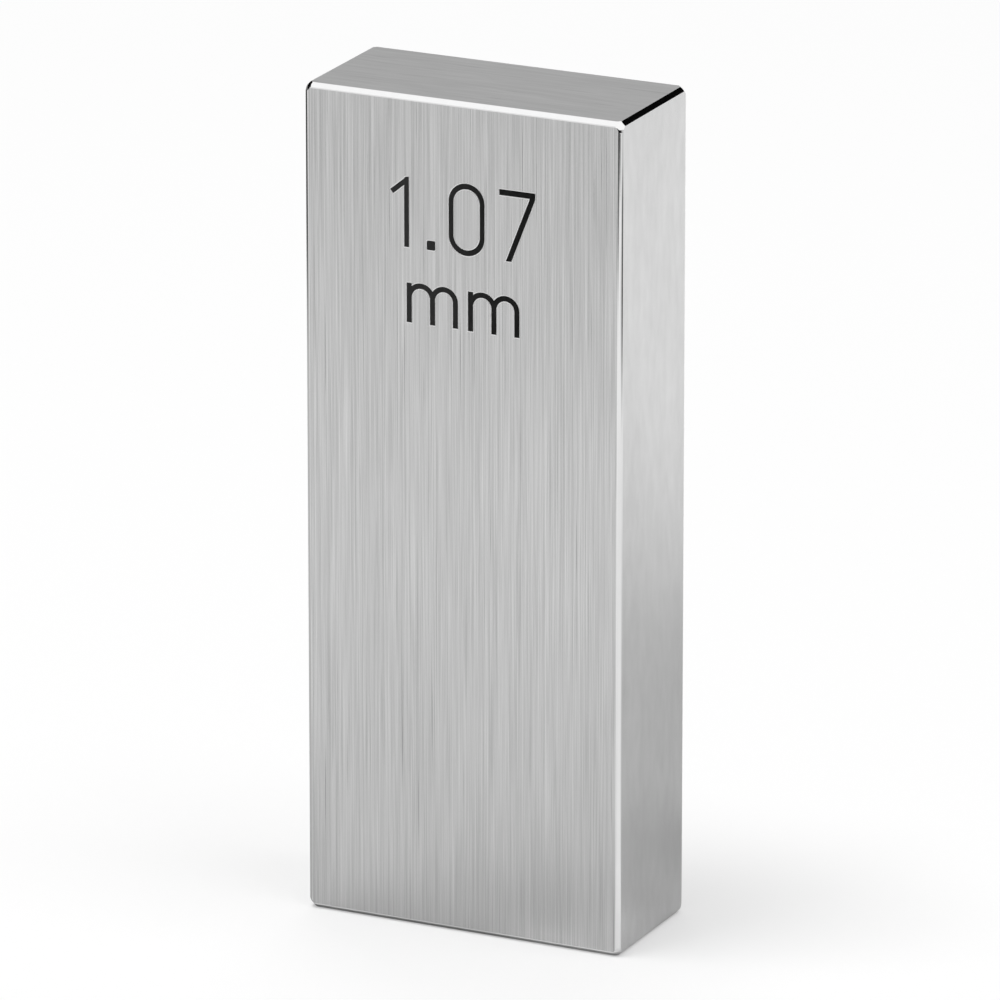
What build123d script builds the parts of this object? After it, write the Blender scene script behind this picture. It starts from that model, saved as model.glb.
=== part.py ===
from build123d import *

import math
import os

# Rectangular steel gauge block, standing upright on one end.
# Sizes are in millimetres. The base is at z = 0 and centred on the Z axis,
# and the two measuring faces look along -Y and +Y.

face_height = 30.0        # long side of a measuring face
face_width = 12.0         # short side of a measuring face
gauge_thickness = 5.3     # distance between the two measuring faces
end_chamfer = 0.15        # leg of the 45 degree chamfer round each end
rim_radius = 0.01         # radius left at an end face's corners, inside the chamfer
corner_radius = 0.6       # radius of the ball that eases each of the eight corners
corner_clearance = 0.005  # how far the easing stays off the rounds between the corners

# The upright edges are rounded a little more than the ends are chamfered,
# so the chamfer runs round each end in one loop and turns as a cone.
upright_round = end_chamfer + rim_radius


def squared_block():
    # The block as it is sawn and ground, with sharp edges.
    return Box(
        face_width,
        gauge_thickness,
        face_height,
        align=(Align.CENTER, Align.CENTER, Align.MIN),
    )


def broken_edges(block):
    # Rounds on the four upright edges, then a flat chamfer round both ends.
    rounded = fillet(block.edges().filter_by(Axis.Z), upright_round)
    end_faces = rounded.faces().filter_by(Axis.Z)
    return chamfer(end_faces.edges(), end_chamfer)


def corner_easing():
    # A box just outside the block, with far rounder edges. Its edges pass clear
    # of the block's own, and only its ball corners reach in to ease the corners.
    reach_of_round = math.sqrt(2) - 1
    spare = reach_of_round * (corner_radius - upright_round) + corner_clearance
    standoff = spare / math.sqrt(2)
    envelope = Box(
        face_width + 2 * standoff,
        gauge_thickness + 2 * standoff,
        face_height + 2 * standoff,
    )
    envelope = fillet(envelope.edges(), corner_radius)
    return Pos(0, 0, face_height / 2) * envelope


def gauge_block():
    return broken_edges(squared_block()) & corner_easing()


os.makedirs("parts", exist_ok=True)
export_step(gauge_block(), "parts/gauge_block.step")
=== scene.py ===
import math

import bmesh
import bpy
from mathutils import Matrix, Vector


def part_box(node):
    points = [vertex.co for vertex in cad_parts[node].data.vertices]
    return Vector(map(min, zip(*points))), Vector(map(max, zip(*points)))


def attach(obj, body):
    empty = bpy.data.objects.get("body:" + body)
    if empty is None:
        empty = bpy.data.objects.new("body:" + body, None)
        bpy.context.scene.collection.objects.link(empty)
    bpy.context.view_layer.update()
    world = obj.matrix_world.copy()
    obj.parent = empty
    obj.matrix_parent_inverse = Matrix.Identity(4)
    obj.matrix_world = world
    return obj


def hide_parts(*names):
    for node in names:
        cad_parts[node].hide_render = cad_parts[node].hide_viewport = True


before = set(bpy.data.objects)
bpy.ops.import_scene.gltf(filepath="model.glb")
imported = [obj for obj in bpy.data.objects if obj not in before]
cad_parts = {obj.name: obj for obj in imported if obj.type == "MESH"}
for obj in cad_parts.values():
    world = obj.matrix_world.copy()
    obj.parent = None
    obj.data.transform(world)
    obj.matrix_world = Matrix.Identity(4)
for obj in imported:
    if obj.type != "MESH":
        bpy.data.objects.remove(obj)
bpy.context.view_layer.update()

# The block is modelled with one unit to a millimetre and brought down to metres at the end.
mm = 0.001
near = 0.001    # in those millimetres, how close a point has to be to a place to count as there
print("frame loaded", list(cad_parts))


# camera

cameraSetup = {
    "azimuth": 25.58,       # degrees to the right of straight on
    "elevation": 17.89,     # degrees above the floor
    "distance": 0.3709,     # from the point aimed at
    "aim": (0.000165, 0, 0.01507),
    "lens": 385.9,
    "sensor": 36,
    "clip": (0.01, 50),
}


def towards(azimuth, elevation):
    # Unit vector from the block to something at these angles, azimuth 0 straight in front.
    a = math.radians(azimuth)
    e = math.radians(elevation)
    return Vector((math.sin(a) * math.cos(e), -math.cos(a) * math.cos(e), math.sin(e)))


def setCamera(setup):
    back = towards(setup["azimuth"], setup["elevation"])
    place = Vector(setup["aim"]) + back * setup["distance"]
    bpy.ops.object.camera_add(location=place, rotation=back.to_track_quat("Z", "Y").to_euler())
    camera = bpy.context.object
    camera.name = "photoCamera"
    camera.data.lens = setup["lens"]
    camera.data.sensor_width = setup["sensor"]
    camera.data.clip_start, camera.data.clip_end = setup["clip"]
    bpy.context.scene.camera = camera


bpy.ops.object.select_all(action="DESELECT")
setCamera(cameraSetup)
print("camera set")


# shader helpers

class Wire:
    # A socket that can be used in sums. Each operator adds the Math node it needs.
    def __init__(self, board, socket):
        self.board = board
        self.socket = socket

    def maths(self, operation, first, second):
        return self.board.add("ShaderNodeMath", {"operation": operation}, {0: first, 1: second})

    def __add__(self, other):
        return self.maths("ADD", self, other)

    def __radd__(self, other):
        return self.maths("ADD", other, self)

    def __sub__(self, other):
        return self.maths("SUBTRACT", self, other)

    def __rsub__(self, other):
        return self.maths("SUBTRACT", other, self)

    def __mul__(self, other):
        return self.maths("MULTIPLY", self, other)

    def __rmul__(self, other):
        return self.maths("MULTIPLY", other, self)

    def __truediv__(self, other):
        return self.maths("DIVIDE", self, other)

    def __pow__(self, other):
        return self.maths("POWER", self, other)

    def __abs__(self):
        return self.board.add("ShaderNodeMath", {"operation": "ABSOLUTE"}, {0: self})


class Board:
    # The node tree of one material or world.
    def __init__(self, owner):
        owner.use_nodes = True
        self.tree = owner.node_tree
        self.tree.nodes.clear()

    def add(self, kind, settings=None, sockets=None, out=0):
        # Adds a node: its settings, then its socket values and links. Gives back one output.
        node = self.tree.nodes.new(kind)
        for name, value in (settings or {}).items():
            setattr(node, name, value)
        for name, value in (sockets or {}).items():
            if isinstance(value, Wire):
                self.tree.links.new(value.socket, node.inputs[name])
            else:
                node.inputs[name].default_value = value
        return Wire(self, node.outputs[out]) if node.outputs else None

    def ramp(self, value, low, high):
        # 0 at low, 1 at high, smooth between them and level beyond
        return self.add(
            "ShaderNodeMapRange",
            {"interpolation_type": "SMOOTHSTEP"},
            {"Value": value, "From Min": low, "From Max": high},
        )

    def grey(self, value):
        return self.add("ShaderNodeCombineColor", None, {"Red": value, "Green": value, "Blue": value})

    def split(self, vector):
        # the x, y and z of a vector
        first = self.add("ShaderNodeSeparateXYZ", None, {"Vector": vector})
        return [Wire(self, output) for output in first.socket.node.outputs]


def noise(board, spacing, shift, detail, roughness):
    # Soft noise whose blobs are about spacing millimetres apart along x, y and z.
    # The shift moves it, so that no two layers of noise line up.
    place = board.add("ShaderNodeTexCoord", None, None, "Object")
    stretched = board.add(
        "ShaderNodeMapping",
        {"vector_type": "POINT"},
        {
            "Vector": place,
            "Scale": [1 / (s * mm) for s in spacing],
            "Location": (shift, shift * 1.7, shift * 2.3),
        },
    )
    return board.add(
        "ShaderNodeTexNoise",
        {"noise_dimensions": "3D"},
        {"Vector": stretched, "Scale": 1.0, "Detail": detail, "Roughness": roughness},
    )


# finishes

# Spacings are in millimetres along x, y and z, longest along the grain.
measuringFinish = {
    "grey": 0.605, "roughness": 0.22,
    "fine": 0.64, "fineSpacing": (0.042, 0.042, 5.2),
    "medium": 0.36, "mediumSpacing": (0.08, 0.08, 16.0),
    "broad": 0.10, "broadSpacing": (0.8, 0.8, 25.0),
    "scratch": 0.42, "scratchSpacing": (0.05, 0.05, 7.0),
    "bump": 0.12,
}
endFinish = {
    "grey": 0.570, "roughness": 0.32,
    "fine": 0.20, "fineSpacing": (1.6, 0.09, 0.09),
    "medium": 0.20, "mediumSpacing": (3.5, 0.22, 0.22),
    "broad": 0.10, "broadSpacing": (6.0, 0.9, 0.9),
    "scratch": 0.20, "scratchSpacing": (2.4, 0.08, 0.08),
    "bump": 0.06,
}
sideFinish = {
    "grey": 0.732, "roughness": 0.20,
    "fine": 0.07, "fineSpacing": (0.10, 0.10, 0.16),
    "medium": 0.16, "mediumSpacing": (0.35, 0.35, 1.10),
    "broad": 0.14, "broadSpacing": (1.2, 1.2, 7.0),
    "scratch": 0.0, "scratchSpacing": (0.2, 0.2, 0.2),
    "bump": 0.02,
}
steelGrain = {
    "fine": (3.1, 2.0, 0.6),        # shift, detail and roughness of each layer's noise
    "medium": (7.7, 2.0, 0.5),
    "broad": (1.3, 1.0, 0.5),
    "scratch": (5.9, 1.0, 0.5),
    "scratchEdge": (0.66, 0.78),    # noise between these begins a scratch
    "glossChange": 0.3,             # how far the streaks change the roughness
    "bumpDistance": 0.00002,
}
edgeFinish = {
    "grey": 0.88, "greyChange": 0.06,
    "roughness": 0.07, "roughnessChange": 0.05,
    "wear": ((0.5, 0.5, 0.9), 2.2, 2.0, 0.6),      # spacing, shift, detail and roughness
}
rimFinish = {
    "grey": 0.92, "greyChange": 0.06,
    "roughness": 0.50, "roughnessChange": 0.1,
    "wear": ((0.12, 0.12, 0.12), 4.4, 1.0, 0.5),
}
markFinish = {
    "darkest": 0.007,
    "paler": 0.024,                 # what is added at the left end
    "palerAcross": (2.4, -2.4),     # where that begins and is full
    "patchChange": 0.026,
    "patch": ((0.09, 0.09, 0.2), 8.8, 2.0, 0.6),
    "roughness": 0.55, "roughnessChange": 0.3,
    "specular": 0.12,
}


def steelFinish(name, finish, layers):
    # Bare steel. Layers of noise, drawn out along the grain, vary its grey, its gloss and its surface.
    material = bpy.data.materials.new(name)
    board = Board(material)
    fine = noise(board, finish["fineSpacing"], *layers["fine"]) - 0.5
    medium = noise(board, finish["mediumSpacing"], *layers["medium"]) - 0.5
    broad = noise(board, finish["broadSpacing"], *layers["broad"]) - 0.5
    scratches = noise(board, finish["scratchSpacing"], *layers["scratch"])
    lines = board.ramp(scratches, *layers["scratchEdge"])
    streaks = fine * finish["fine"] + medium * finish["medium"] + broad * finish["broad"]
    shade = 1.0 + streaks - lines * finish["scratch"]
    height = fine + medium - lines
    relief = board.add(
        "ShaderNodeBump",
        None,
        {"Strength": finish["bump"], "Distance": layers["bumpDistance"], "Height": height},
    )
    surface = board.add(
        "ShaderNodeBsdfPrincipled",
        None,
        {
            "Base Color": board.grey(shade * finish["grey"]),
            "Metallic": 1.0,
            "Roughness": finish["roughness"] - streaks * layers["glossChange"],
            "Normal": relief,
        },
    )
    board.add("ShaderNodeOutputMaterial", None, {"Surface": surface})
    return material


def brightFinish(name, finish):
    # Bright metal with a trace of wear, for the stoned edges and the sloping walls of the marking.
    material = bpy.data.materials.new(name)
    board = Board(material)
    wear = noise(board, *finish["wear"]) - 0.5
    surface = board.add(
        "ShaderNodeBsdfPrincipled",
        None,
        {
            "Base Color": board.grey(finish["grey"] + wear * finish["greyChange"]),
            "Metallic": 1.0,
            "Roughness": finish["roughness"] + wear * finish["roughnessChange"],
        },
    )
    board.add("ShaderNodeOutputMaterial", None, {"Surface": surface})
    return material


def blackenedMark(finish):
    # The dark floor of the marking, a little paler towards the left.
    material = bpy.data.materials.new("blackenedMark")
    board = Board(material)
    place = board.add("ShaderNodeTexCoord", None, None, "Object")
    across = board.add("ShaderNodeSeparateXYZ", None, {"Vector": place}, "X")
    right, left = finish["palerAcross"]
    paler = board.ramp(across, right * mm, left * mm)
    patch = noise(board, *finish["patch"]) - 0.5
    shade = finish["darkest"] + paler * finish["paler"] + patch * finish["patchChange"]
    surface = board.add(
        "ShaderNodeBsdfPrincipled",
        None,
        {
            "Base Color": board.grey(shade),
            "Roughness": finish["roughness"] + patch * finish["roughnessChange"],
            "Specular IOR Level": finish["specular"],
        },
    )
    board.add("ShaderNodeOutputMaterial", None, {"Surface": surface})
    return material


# modelling helpers

def startCube(name, size, centre):
    bpy.ops.object.select_all(action="DESELECT")
    bpy.ops.mesh.primitive_cube_add(size=1, location=centre, scale=size)
    bpy.ops.object.transform_apply(location=True, rotation=True, scale=True)
    bpy.context.object.name = name
    return bpy.context.object


def pick(piece, kind, test):
    # In edit mode, selects the points, edges or faces that pass the test and no others.
    bpy.ops.mesh.select_mode(type=kind)
    bpy.ops.mesh.select_all(action="DESELECT")
    shape = bmesh.from_edit_mesh(piece.data)
    shape.normal_update()
    parts = {"VERT": shape.verts, "EDGE": shape.edges, "FACE": shape.faces}[kind]
    for part in [p for p in parts if test(p)]:
        part.select_set(True)
    bmesh.update_edit_mesh(piece.data)


def runsAlongZ(edge):
    line = edge.verts[1].co - edge.verts[0].co
    return abs(line.z) > 0.9 * line.length


def liesAt(edge, height):
    return all(abs(v.co.z - height) < near for v in edge.verts)


def combine(piece, tool, operation):
    # Applies a boolean and takes the tool away.
    bpy.ops.object.select_all(action="DESELECT")
    bpy.context.view_layer.objects.active = piece
    cut = piece.modifiers.new("cut", "BOOLEAN")
    cut.operation = operation
    cut.solver = "EXACT"
    cut.use_self = True
    cut.object = tool
    bpy.ops.object.modifier_apply(modifier="cut")
    bpy.data.objects.remove(tool, do_unlink=True)


# gauge block

low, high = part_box("gauge_block")
blockShape = {
    "size": tuple((high - low) / mm),
    "uprightRound": 0.16,
    "uprightSteps": 8,
    "endChamfer": 0.15,
    "shoulderRound": 0.03,      # softens the border between a chamfer and the upright faces
    "rimRound": 0.008,          # softens the border between a chamfer and the end face
    "borderSteps": 4,
    "cornerBall": 0.6,
    "ballSteps": 14,
    "cornerClearance": 0.005,
    "smoothUpTo": 12.5,         # degrees between faces that are shaded as one surface
}


def squareBlock(shape):
    top = shape["size"][2]
    chamfer = shape["endChamfer"]
    block = startCube("gaugeBlock", shape["size"], (0, 0, top / 2))
    bpy.ops.object.mode_set(mode="EDIT")
    pick(block, "EDGE", runsAlongZ)
    bpy.ops.mesh.bevel(
        offset=shape["uprightRound"], segments=shape["uprightSteps"], profile=0.5, clamp_overlap=False
    )
    pick(block, "FACE", lambda f: abs(f.normal.z) > 0.9)
    bpy.ops.mesh.region_to_loop()
    bpy.ops.mesh.bevel(offset=chamfer, segments=1, clamp_overlap=False)
    for border, inset in (("shoulderRound", chamfer), ("rimRound", 0)):
        pick(block, "EDGE", lambda e: liesAt(e, inset) or liesAt(e, top - inset))
        bpy.ops.mesh.bevel(
            offset=shape[border], segments=shape["borderSteps"], profile=0.5, clamp_overlap=False
        )
    bpy.ops.object.mode_set(mode="OBJECT")
    return block


def cornerEnvelope(shape):
    # A rounder box just outside the block. Only its ball corners reach in.
    reach = (math.sqrt(2) - 1) * (shape["cornerBall"] - shape["uprightRound"])
    standoff = (reach + shape["cornerClearance"]) / math.sqrt(2)
    size = [side + 2 * standoff for side in shape["size"]]
    envelope = startCube("envelope", size, (0, 0, shape["size"][2] / 2))
    bpy.ops.object.mode_set(mode="EDIT")
    bpy.ops.mesh.select_all(action="SELECT")
    bpy.ops.mesh.bevel(
        offset=shape["cornerBall"], segments=shape["ballSteps"], profile=0.5, clamp_overlap=False
    )
    bpy.ops.object.mode_set(mode="OBJECT")
    return envelope


# marking

marking = {
    "depth": 0.012,
    "rim": 0.032,           # width of the sloping wall round each stroke
    "overcut": 0.05,        # how far the cutter stands out in front of the face
    "field": (3, 21, 28),   # it is all within this half width, and between these heights
    "roundSteps": 4,
    "arcSteps": 20,
    "digitStroke": 0.182,
    "digitTop": 27.124,
    "digitFoot": 24.618,
    "stemX": -2.112,
    "stemRounds": (0.13, 0.05),     # at its top, more on the side where the flag comes in
    "flagTip": (-2.675, 26.54),
    "flagTilt": 50.5,       # degrees from upright
    "flagShorter": 0.03,    # how far it stops before the middle of the stem
    "dot": (-1.186, 24.615, 0.320, 0.334),  # middle, foot, width and height
    "dotRound": 0.08,
    "zeroStroke": 0.176,
    "zeroHeavier": 0.026,   # how much thicker it is at the top and the foot
    "zeroX": 0.165,
    "zeroRadius": 0.588,
    "zeroBends": (25.258, 26.476),
    "sevenBar": (1.400, 2.753, 0.212),      # left, right and thickness
    "sevenKnee": (0.004, 26.875),   # how far it stays in from the bar's end, and its height
    "sevenFoot": (1.738, 24.59),
    "sevenLeg": 0.212,      # across, where it slants
    "letterStroke": 0.194,
    "letterFoot": 21.937,
    "letterTop": 23.352,
    "letterBend": 22.838,
    "letterLegs": (-2.018, -1.132, -0.263),
    "letterShift": (2.329, -0.02),
    "archSweep": 174,       # degrees, so that an arch ends inside the leg before it
}


def strip(look, width, foot, length, tilt=0.0):
    # A flat strip that starts at foot and runs up, tilted to the right by some degrees.
    # It is wider and longer than the stroke by the sloping walls.
    a = math.radians(tilt)
    middle = (foot[0] + math.sin(a) * length / 2, 0, foot[1] + math.cos(a) * length / 2)
    bpy.ops.object.select_all(action="DESELECT")
    bpy.ops.mesh.primitive_plane_add(size=1, location=middle, rotation=(math.pi / 2, a, 0))
    flat = bpy.context.object
    flat.scale = (width + 2 * look["rim"], length + 2 * look["rim"], 1)
    bpy.ops.object.transform_apply(location=True, rotation=True, scale=True)
    return flat


def bend(look, centre, degrees):
    # Carries on from the selected edge, in a bend round centre.
    bpy.ops.mesh.spin(
        steps=look["arcSteps"],
        angle=math.radians(degrees),
        center=(centre[0], 0, centre[1]),
        axis=(0, 1, 0),
    )


def stemAndFlag(look):
    x, foot, top = look["stemX"], look["digitFoot"], look["digitTop"]
    stroke = look["digitStroke"]
    stem = strip(look, stroke, (x, foot), top - foot)
    bpy.ops.object.mode_set(mode="EDIT")
    for side, radius in zip((-1, 1), look["stemRounds"]):
        pick(stem, "VERT", lambda v: v.co.z > top and (v.co.x - x) * side > stroke / 2)
        bpy.ops.mesh.bevel(offset=radius, segments=look["roundSteps"], affect="VERTICES")
    bpy.ops.object.mode_set(mode="OBJECT")
    tip, tilt = look["flagTip"], look["flagTilt"]
    reach = (x - tip[0]) / math.sin(math.radians(tilt)) - look["flagShorter"]
    return [stem, strip(look, stroke, tip, reach, tilt)]


def point(look):
    x, foot, width, height = look["dot"]
    dot = strip(look, width, (x, foot), height)
    bpy.ops.object.mode_set(mode="EDIT")
    bpy.ops.mesh.select_all(action="SELECT")
    bpy.ops.mesh.bevel(offset=look["dotRound"], segments=look["roundSteps"], affect="VERTICES")
    bpy.ops.object.mode_set(mode="OBJECT")
    return [dot]


def zero(look):
    # One side, the bend over the top, the other side, and the bend under the bottom.
    x, radius = look["zeroX"], look["zeroRadius"]
    low, high = look["zeroBends"]
    rim = look["rim"]
    ring = strip(look, look["zeroStroke"], (x - radius, low + rim), high - low - 2 * rim)
    bpy.ops.object.mode_set(mode="EDIT")
    pick(ring, "EDGE", lambda e: liesAt(e, high))
    bend(look, (x, high), -180)
    bpy.ops.mesh.extrude_region_move(TRANSFORM_OT_translate={"value": (0, 0, low - high)})
    bend(look, (x, low), -180)
    bpy.ops.mesh.select_all(action="SELECT")
    bpy.ops.mesh.remove_doubles(threshold=0.0001)
    # the inner line of each bend moves in, which thickens the top and the foot
    for level, side in ((high, -1), (low, 1)):
        pick(
            ring,
            "VERT",
            lambda v: (level - v.co.z) * side > near and math.hypot(v.co.x - x, v.co.z - level) < radius,
        )
        bpy.ops.transform.translate(value=(0, 0, side * look["zeroHeavier"]))
    bpy.ops.object.mode_set(mode="OBJECT")
    return [ring]


def seven(look):
    left, right, thick = look["sevenBar"]
    top, rim = look["digitTop"], look["rim"]
    bar = strip(look, right - left, ((left + right) / 2, top - thick), thick)
    # the leg drops from the bar to the knee and slants from there to its foot
    inset, knee = look["sevenKnee"]
    kneeX = right - look["sevenLeg"] / 2 - inset
    footX, foot = look["sevenFoot"]
    leg = strip(look, look["sevenLeg"], (kneeX, knee + rim), top - thick / 2 - knee)
    bpy.ops.object.mode_set(mode="EDIT")
    pick(leg, "EDGE", lambda e: liesAt(e, knee))
    bpy.ops.mesh.extrude_region_move(
        TRANSFORM_OT_translate={"value": (footX - kneeX, 0, foot - knee - rim)}
    )
    bpy.ops.object.mode_set(mode="OBJECT")
    return [bar, leg]


def letterM(look, shift):
    # Three legs, and a bend from each of the last two over to the one before it.
    stroke, rim = look["letterStroke"], look["rim"]
    foot, top, level = [look[key] + shift[1] for key in ("letterFoot", "letterTop", "letterBend")]
    legs = [x + shift[0] for x in look["letterLegs"]]
    parts = [strip(look, stroke, (legs[0], foot), top - foot)]
    for before, leg in zip(legs, legs[1:]):
        part = strip(look, stroke, (leg, foot), level - foot - rim)
        bpy.ops.object.mode_set(mode="EDIT")
        pick(part, "EDGE", lambda e: liesAt(e, level))
        bend(look, ((before + leg) / 2, level), look["archSweep"])
        bpy.ops.object.mode_set(mode="OBJECT")
        parts.append(part)
    return parts


def sinkStroke(flat, look, front):
    # Gives a strip its depth into the face and slopes the walls round its floor.
    rim, overcut = look["rim"], look["overcut"]
    bpy.ops.object.select_all(action="DESELECT")
    bpy.context.view_layer.objects.active = flat
    flat.select_set(True)
    bpy.ops.object.mode_set(mode="EDIT")
    bpy.ops.mesh.select_all(action="SELECT")
    bpy.ops.transform.translate(value=(0, front - overcut, 0))
    bpy.ops.mesh.extrude_region_move(TRANSFORM_OT_translate={"value": (0, rim + overcut, 0)})
    bpy.ops.mesh.select_all(action="SELECT")
    bpy.ops.mesh.normals_make_consistent(inside=False)
    pick(
        flat,
        "EDGE",
        lambda e: all(v.co.y > front + rim - near for v in e.verts) and e.calc_face_angle() > 1,
    )
    bpy.ops.mesh.bevel(offset=rim, segments=1, clamp_overlap=False)
    # flattened towards the face, so the walls slope gently
    bpy.ops.mesh.select_all(action="SELECT")
    bpy.ops.transform.resize(value=(1, look["depth"] / rim, 1), center_override=(0, front, 0))
    bpy.ops.object.mode_set(mode="OBJECT")


def markingCutter(look, front):
    strokes = stemAndFlag(look) + point(look) + zero(look) + seven(look)
    strokes += letterM(look, (0, 0)) + letterM(look, look["letterShift"])
    for flat in strokes:
        sinkStroke(flat, look, front)
    bpy.ops.object.select_all(action="DESELECT")
    for flat in strokes:
        flat.select_set(True)
    bpy.context.view_layer.objects.active = strokes[0]
    bpy.ops.object.join()
    return strokes[0]


def placeFinishes(block, look, front, finishes):
    # Each face takes its finish from where it is and which way it looks.
    order = list(finishes)
    for finish in finishes.values():
        block.data.materials.append(finish)
    halfWidth, foot, top = look["field"]
    for face in block.data.polygons:
        normal, centre = face.normal, face.center
        inField = abs(centre.x) < halfWidth and foot < centre.z < top
        if inField and front + near < centre.y < 0:
            place = "mark" if normal.y < -0.99 else "rim"
        elif abs(normal.y) > 0.999:
            place = "measuring"
        elif abs(normal.z) > 0.999:
            place = "end"
        elif abs(normal.x) > 0.999:
            place = "side"
        else:
            place = "edge"
        face.material_index = order.index(place)


def finishBlock(block, shape):
    # Smooth across the rounds, crisp at the borders, and down to metres.
    bpy.ops.object.select_all(action="DESELECT")
    block.select_set(True)
    bpy.context.view_layer.objects.active = block
    bpy.ops.object.shade_smooth_by_angle(angle=math.radians(shape["smoothUpTo"]))
    level = block.modifiers.new("level", "WEIGHTED_NORMAL")
    level.keep_sharp = True
    bpy.ops.object.modifier_apply(modifier="level")
    block.scale = (mm, mm, mm)
    bpy.ops.object.transform_apply(location=True, rotation=True, scale=True)


finishes = {
    "measuring": steelFinish("brushedMeasuringFace", measuringFinish, steelGrain),
    "end": steelFinish("groundEnd", endFinish, steelGrain),
    "side": steelFinish("satinSide", sideFinish, steelGrain),
    "edge": brightFinish("polishedEdge", edgeFinish),
    "rim": brightFinish("burnishedRim", rimFinish),
    "mark": blackenedMark(markFinish),
}
frontFace = -blockShape["size"][1] / 2
block = squareBlock(blockShape)
combine(block, cornerEnvelope(blockShape), "INTERSECT")
print("block shaped,", len(block.data.polygons), "faces")
combine(block, markingCutter(marking, frontFace), "DIFFERENCE")
placeFinishes(block, marking, frontFace, finishes)
finishBlock(block, blockShape)
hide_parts("gauge_block")
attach(block, "root")
print("block marked and finished,", len(block.data.polygons), "faces")


# studio

# Directions are in degrees, counted from +X. The bright steel takes its look from what it mirrors,
# so the room has its own light and dark parts for reflections alone, and the floor has painted shade
# that only reflections see.
studio = {
    "overhead": 1.06,                   # brightness of the soft box above
    "overheadEdge": (0.60, 0.66),       # heights where it begins and is full, 1 straight above
    "overheadDip": (-12, 26, 14, 0.26),     # it hangs lower here: direction, half width, softness, drop
    "walls": ((-128, 24, 0.85), (108, 20, 0.60)),   # direction, half width and brightness
    "lowWalls": ((-72, 26, 0.60), (196, 14, 0.60), (6, 28, 0.60)),
    "lowWallTop": (0.44, 0.34),         # heights where the low walls have ended and are still full
    "wallSoftness": 5,
    "darkRoom": 0.002,
    "horizon": (0.05, 0.0),             # heights of the pale band that carries the floor on
    "ambient": 0.27,                    # light from all round, for the floor
    # soft boxes that light the floor: azimuth from straight in front, elevation, distance, size, power
    "lamps": (
        (-46, 77, 0.90, 0.30, 3.80),
        (82, 72, 0.90, 0.40, 1.76),
        (-155, 74, 0.90, 0.28, 0.98),
    ),
}
floorLook = {
    "size": 8,
    "sunk": 0.00001,        # just under the block, so that the two don't share a plane
    "grey": 0.97,
    "cameraWhite": 0.40,    # how much of the plain white the camera sees whatever the shade
    "mirrored": 0.92,       # painted shade: tone of the floor in reflections, below its grey
    # Painted shade, seen only in reflections: darker parts of the floor, near the block in place of its
    # shadow and further out as dark patches that the edges mirror. Each is seen from the middle of the
    # block or the foot of a
    # front edge: direction, half width, softness, the distances where the part begins and is full, how
    # dark it is, and for some of them the distances where it is gone at its other end and where it is
    # still full.
    "paintedShadeZones": {
        "middle": (
            (-116, 32, 14, 0.062, 0.098, 0.07),
            (-116, 50, 20, 0.055, 0.004, 0.14),
            (-100, 75, 10, 0.012, 0.0, 0.15),
            (72, 60, 14, 0.074, 0.020, 0.39, 0.0, 0.0145),
            (92, 36, 4, 0.043, 0.035, 0.15),
            (92, 42, 20, 0.018, 0.004, 0.16),
            (66, 24, 10, 0.021, 0.012, 0.18),
        ),
        "left": (
            (175, 58, 5, 0.130, 0.055, 0.45),
            (164, 53, 5, 0.062, 0.086, 0.90),
        ),
        "right": (
            (-93, 15, 4, 0.074, 0.092, 0.85),
            (-68, 24, 6, 0.092, 0.100, 0.90),
            (14, 38, 8, 0.094, 0.101, 0.26),
            (20, 22, 12, 0.057, 0.078, 0.90, 0.101, 0.094),
            (-18, 14, 14, 0.066, 0.078, 0.22, 0.092, 0.084),
            (-35, 62, 10, 0.070, 0.050, 0.08),
            (64, 14, 10, 0.010, 0.004, 0.06),
            (-125, 22, 14, 0.016, 0.004, 0.10),
        ),
    },
    "paintedContactShadow": (0.0004, 0.00005, 0.10),     # painted contact shadow, seen only in reflections, next to the block: where it begins, is full, how dark
}


def facing(board, x, y, degrees, halfWidth, soft):
    # 1 where the flat direction x, y is within halfWidth of an angle, counted from +X
    a = math.radians(degrees)
    length = (x * x + y * y) ** 0.5
    along = (x * math.cos(a) + y * math.sin(a)) / length
    outer = math.radians(halfWidth + soft)
    inner = math.radians(max(halfWidth - soft, 0))
    return board.ramp(along, math.cos(outer), math.cos(inner))


def rayKind(board, kind):
    return board.add("ShaderNodeLightPath", None, None, kind)


def buildWorld(look):
    world = bpy.data.worlds.new("softStudio")
    bpy.context.scene.world = world
    board = Board(world)
    x, y, z = board.split(board.add("ShaderNodeTexCoord", None, None, "Generated"))
    soft = look["wallSoftness"]
    walls = look["darkRoom"]
    for direction, halfWidth, bright in look["walls"]:
        walls = walls + facing(board, x, y, direction, halfWidth, soft) * bright
    beneath = board.ramp(z, *look["lowWallTop"])
    for direction, halfWidth, bright in look["lowWalls"]:
        walls = walls + facing(board, x, y, direction, halfWidth, soft) * beneath * bright
    horizon = board.ramp(z, *look["horizon"])
    around = horizon + (1 - horizon) * walls
    *where, drop = look["overheadDip"]
    above = board.ramp(z + facing(board, x, y, *where) * drop, *look["overheadEdge"])
    reflected = above * look["overhead"] + (1 - above) * around
    glossy = rayKind(board, "Is Glossy Ray")
    camera = rayKind(board, "Is Camera Ray")
    plain = camera + (1 - camera) * look["ambient"]
    strength = glossy * reflected + (1 - glossy) * plain
    light = board.add("ShaderNodeBackground", None, {"Color": (1, 1, 1, 1), "Strength": strength})
    board.add("ShaderNodeOutputWorld", None, {"Surface": light})


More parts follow.
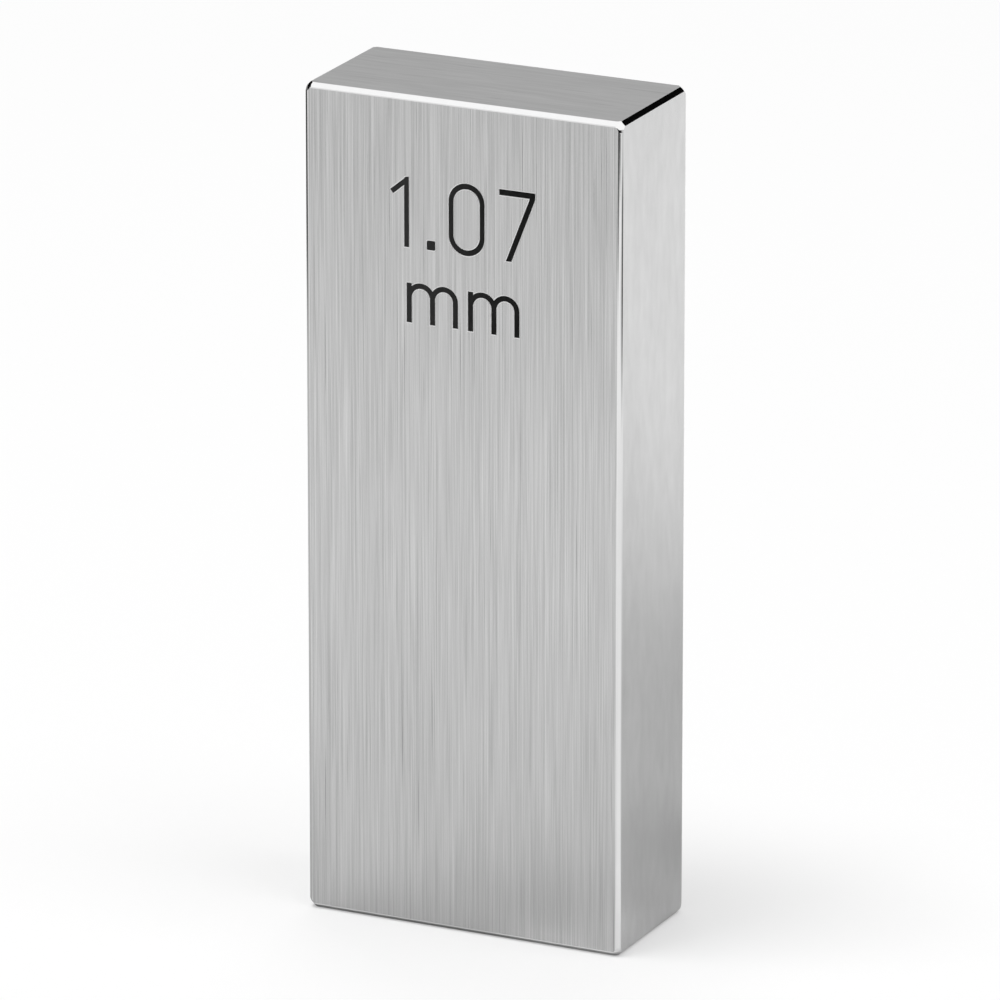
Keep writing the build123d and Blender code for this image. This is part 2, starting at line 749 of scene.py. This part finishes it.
def buildFloor(look):
    bpy.ops.object.select_all(action="DESELECT")
    bpy.ops.mesh.primitive_plane_add(size=look["size"], location=(0, 0, -look["sunk"]))
    floor = bpy.context.object
    floor.name = "floor"
    material = bpy.data.materials.new("paleFloorWithPaintedShade")
    board = Board(material)
    x, y, _ = board.split(board.add("ShaderNodeNewGeometry", None, None, "Position"))
    width, depth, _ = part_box("gauge_block")[1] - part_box("gauge_block")[0]
    feet = {"middle": (0, 0), "left": (-width / 2, -depth / 2), "right": (width / 2, -depth / 2)}
    # the floor's tone in reflections, with painted shade: darker zones round the block that only glossy
    # rays see
    reflected = look["mirrored"]
    for foot, (footX, footY) in feet.items():
        sideX, sideY = x - footX, y - footY
        distance = (sideX * sideX + sideY * sideY) ** 0.5
        for direction, halfWidth, soft, begins, full, dark, *ends in look["paintedShadeZones"][foot]:
            paintedShade = facing(board, sideX, sideY, direction, halfWidth, soft)
            paintedShade = paintedShade * board.ramp(distance, begins, full)
            if ends:
                paintedShade = paintedShade * board.ramp(distance, *ends)
            reflected = (1 - paintedShade * dark) * reflected
    # painted contact shadow: the floor is darker right beside the block, in reflections only
    gap = x.maths("MAXIMUM", abs(x) - width / 2, abs(y) - depth / 2)
    begins, full, dark = look["paintedContactShadow"]
    reflected = reflected * (1 - board.ramp(gap, begins, full) * dark)
    # only glossy rays see this painted shade; the camera and all other rays see the plain grey
    glossy = rayKind(board, "Is Glossy Ray")
    toneWithPaintedShade = look["grey"] * (1 - glossy * (1 - reflected))
    matt = board.add("ShaderNodeBsdfDiffuse", None, {"Color": board.grey(toneWithPaintedShade)})
    white = board.add("ShaderNodeEmission", None, {"Color": (1, 1, 1, 1), "Strength": 1.0})
    share = rayKind(board, "Is Camera Ray") * look["cameraWhite"]
    surface = board.add("ShaderNodeMixShader", None, {0: share, 1: matt, 2: white})
    board.add("ShaderNodeOutputMaterial", None, {"Surface": surface})
    floor.data.materials.append(material)


def buildLamps(look):
    for azimuth, elevation, distance, size, power in look["lamps"]:
        away = towards(azimuth, elevation)
        bpy.ops.object.light_add(type="AREA", location=away * distance)
        lamp = bpy.context.object
        lamp.name = "softBox"
        lamp.rotation_euler = away.to_track_quat("Z", "Y").to_euler()
        lamp.data.size = size
        lamp.data.energy = power
        lamp.visible_camera = False
        lamp.visible_glossy = False


buildWorld(studio)
buildFloor(floorLook)
buildLamps(studio)
bpy.context.scene.view_settings.view_transform = "Standard"
print("studio lit")
